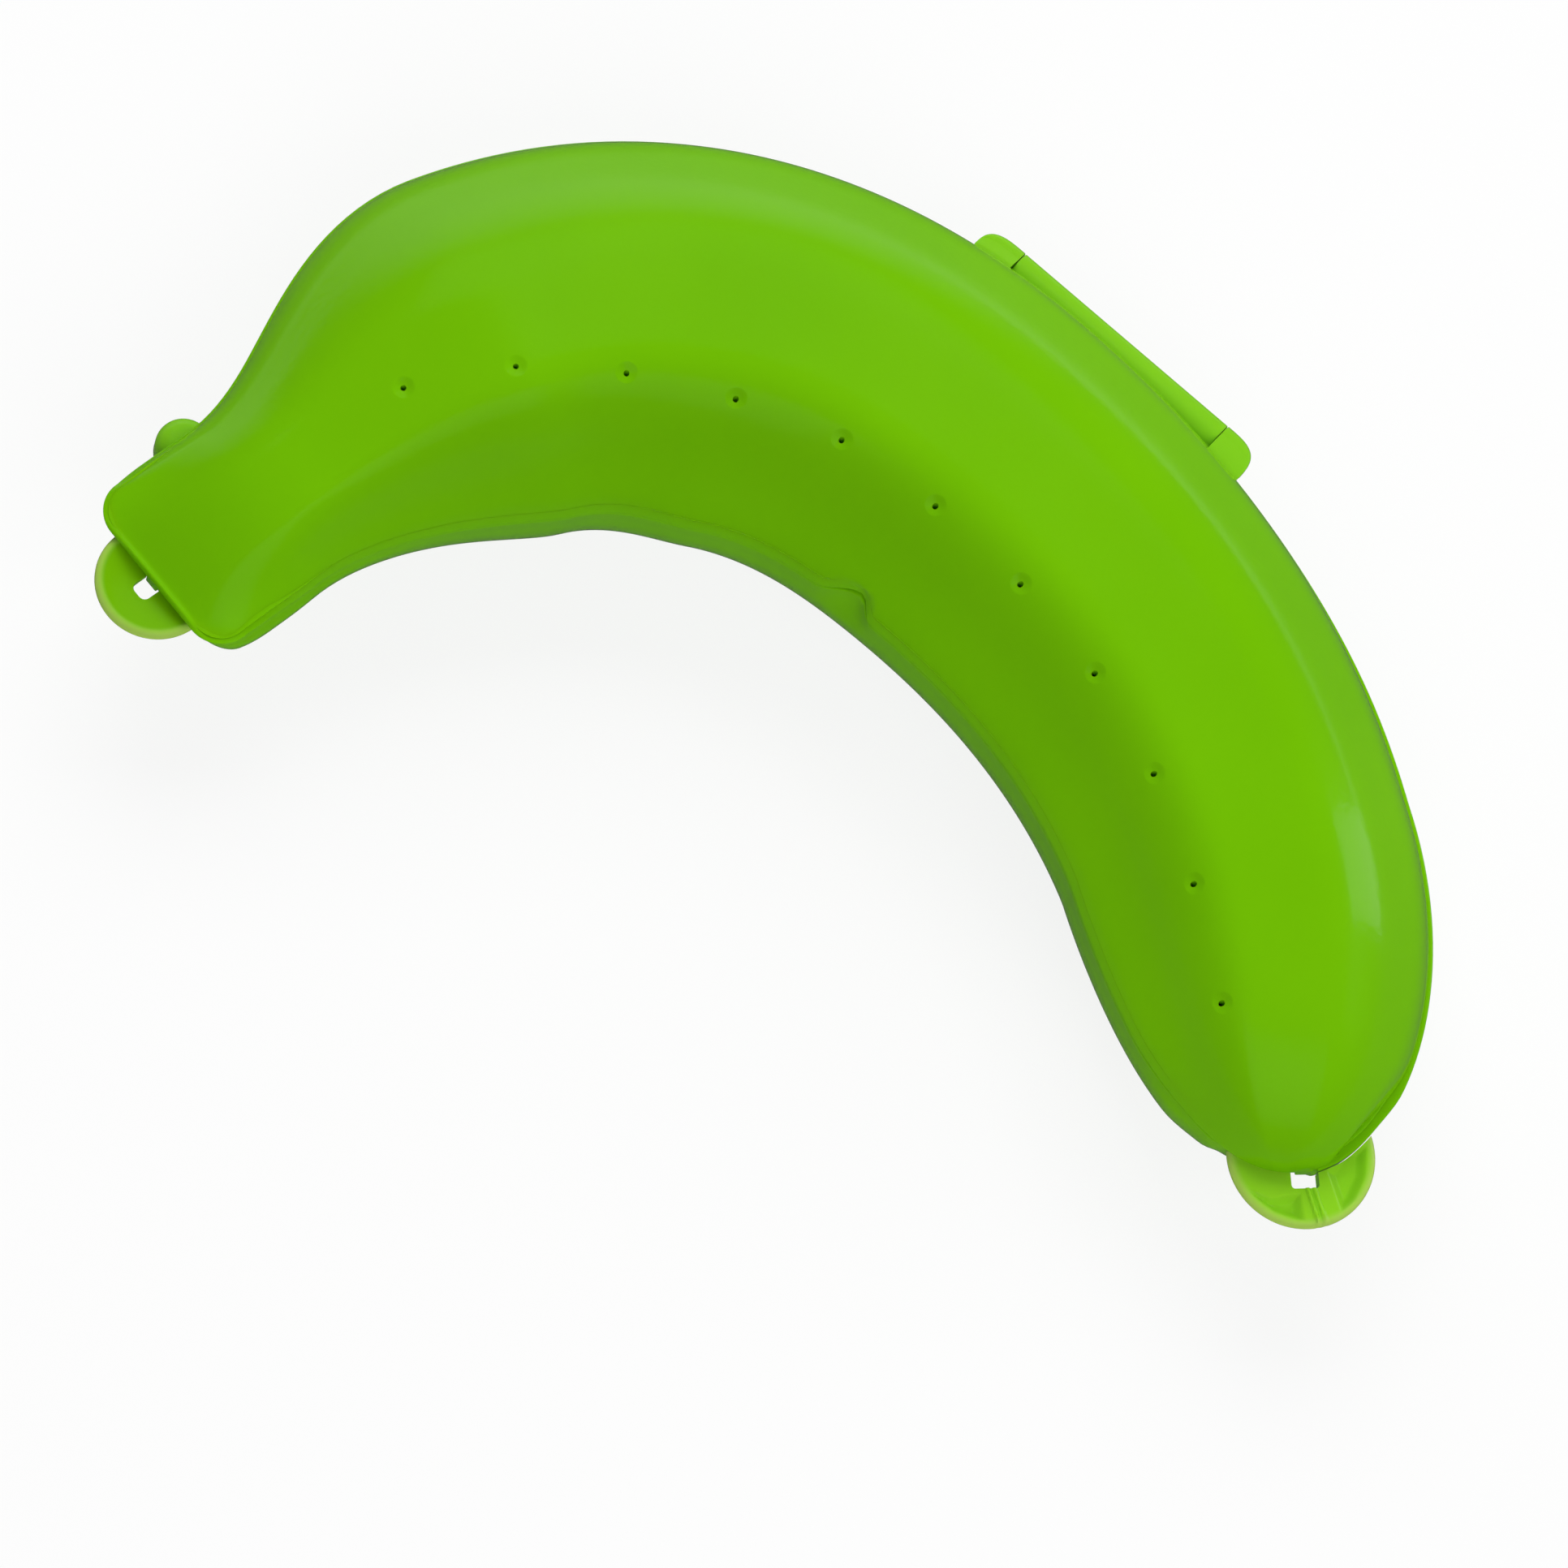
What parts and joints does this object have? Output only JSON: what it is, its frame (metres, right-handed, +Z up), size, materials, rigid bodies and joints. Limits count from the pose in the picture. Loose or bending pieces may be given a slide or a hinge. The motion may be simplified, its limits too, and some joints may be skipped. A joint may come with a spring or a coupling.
{
  "type": "banana carrying case",
  "caption": "Banana-shaped hinged carrying case: a moulded lid with vents closes over a deeper lower shell, hinged on the outer curve and latched by a sprung tab at each end.",
  "frame": {"origin": "under the middle of the closed case's bounding box, on the flat land that the lower shell rests on", "axes": "+Z up out of the lid, +X along the length from the stem to the tip, +Y towards the outer curve with the hinge"},
  "size_m": [0.1978, 0.1182, 0.0428],
  "materials": {
    "case_plastic": "smooth, glossy, slightly see-through at thin edges"
  },
  "bodies": {
    "lower": {"lower_shell": "case_plastic", "hinge_pin": "case_plastic"},
    "lid": {"upper_shell": "case_plastic"},
    "stem_tab": {"stem_latch_tab": "case_plastic"},
    "tip_tab": {"tip_latch_tab": "case_plastic"}
  },
  "joints": [
    {"name": "lid_hinge", "type": "hinge", "parent": "lower", "child": "lid", "pos_m": [0.01329, 0.05241, 0.0219], "axis": [-0.9775, 0.211, 0], "range_deg": [0, 180]},
    {"name": "stem_tab_flex", "type": "hinge", "parent": "lower", "child": "stem_tab", "pos_m": [-0.08715, -0.05218, 0.0234], "axis": [0.9272, -0.3746, 0], "range_deg": [0, 8], "stiffness_Nm_per_rad": 0.05},
    {"name": "tip_tab_flex", "type": "hinge", "parent": "lower", "child": "tip_tab", "pos_m": [0.08844, -0.04093, 0.0234], "axis": [0.85, 0.5268, 0], "range_deg": [0, 8], "stiffness_Nm_per_rad": 0.05}
  ]
}
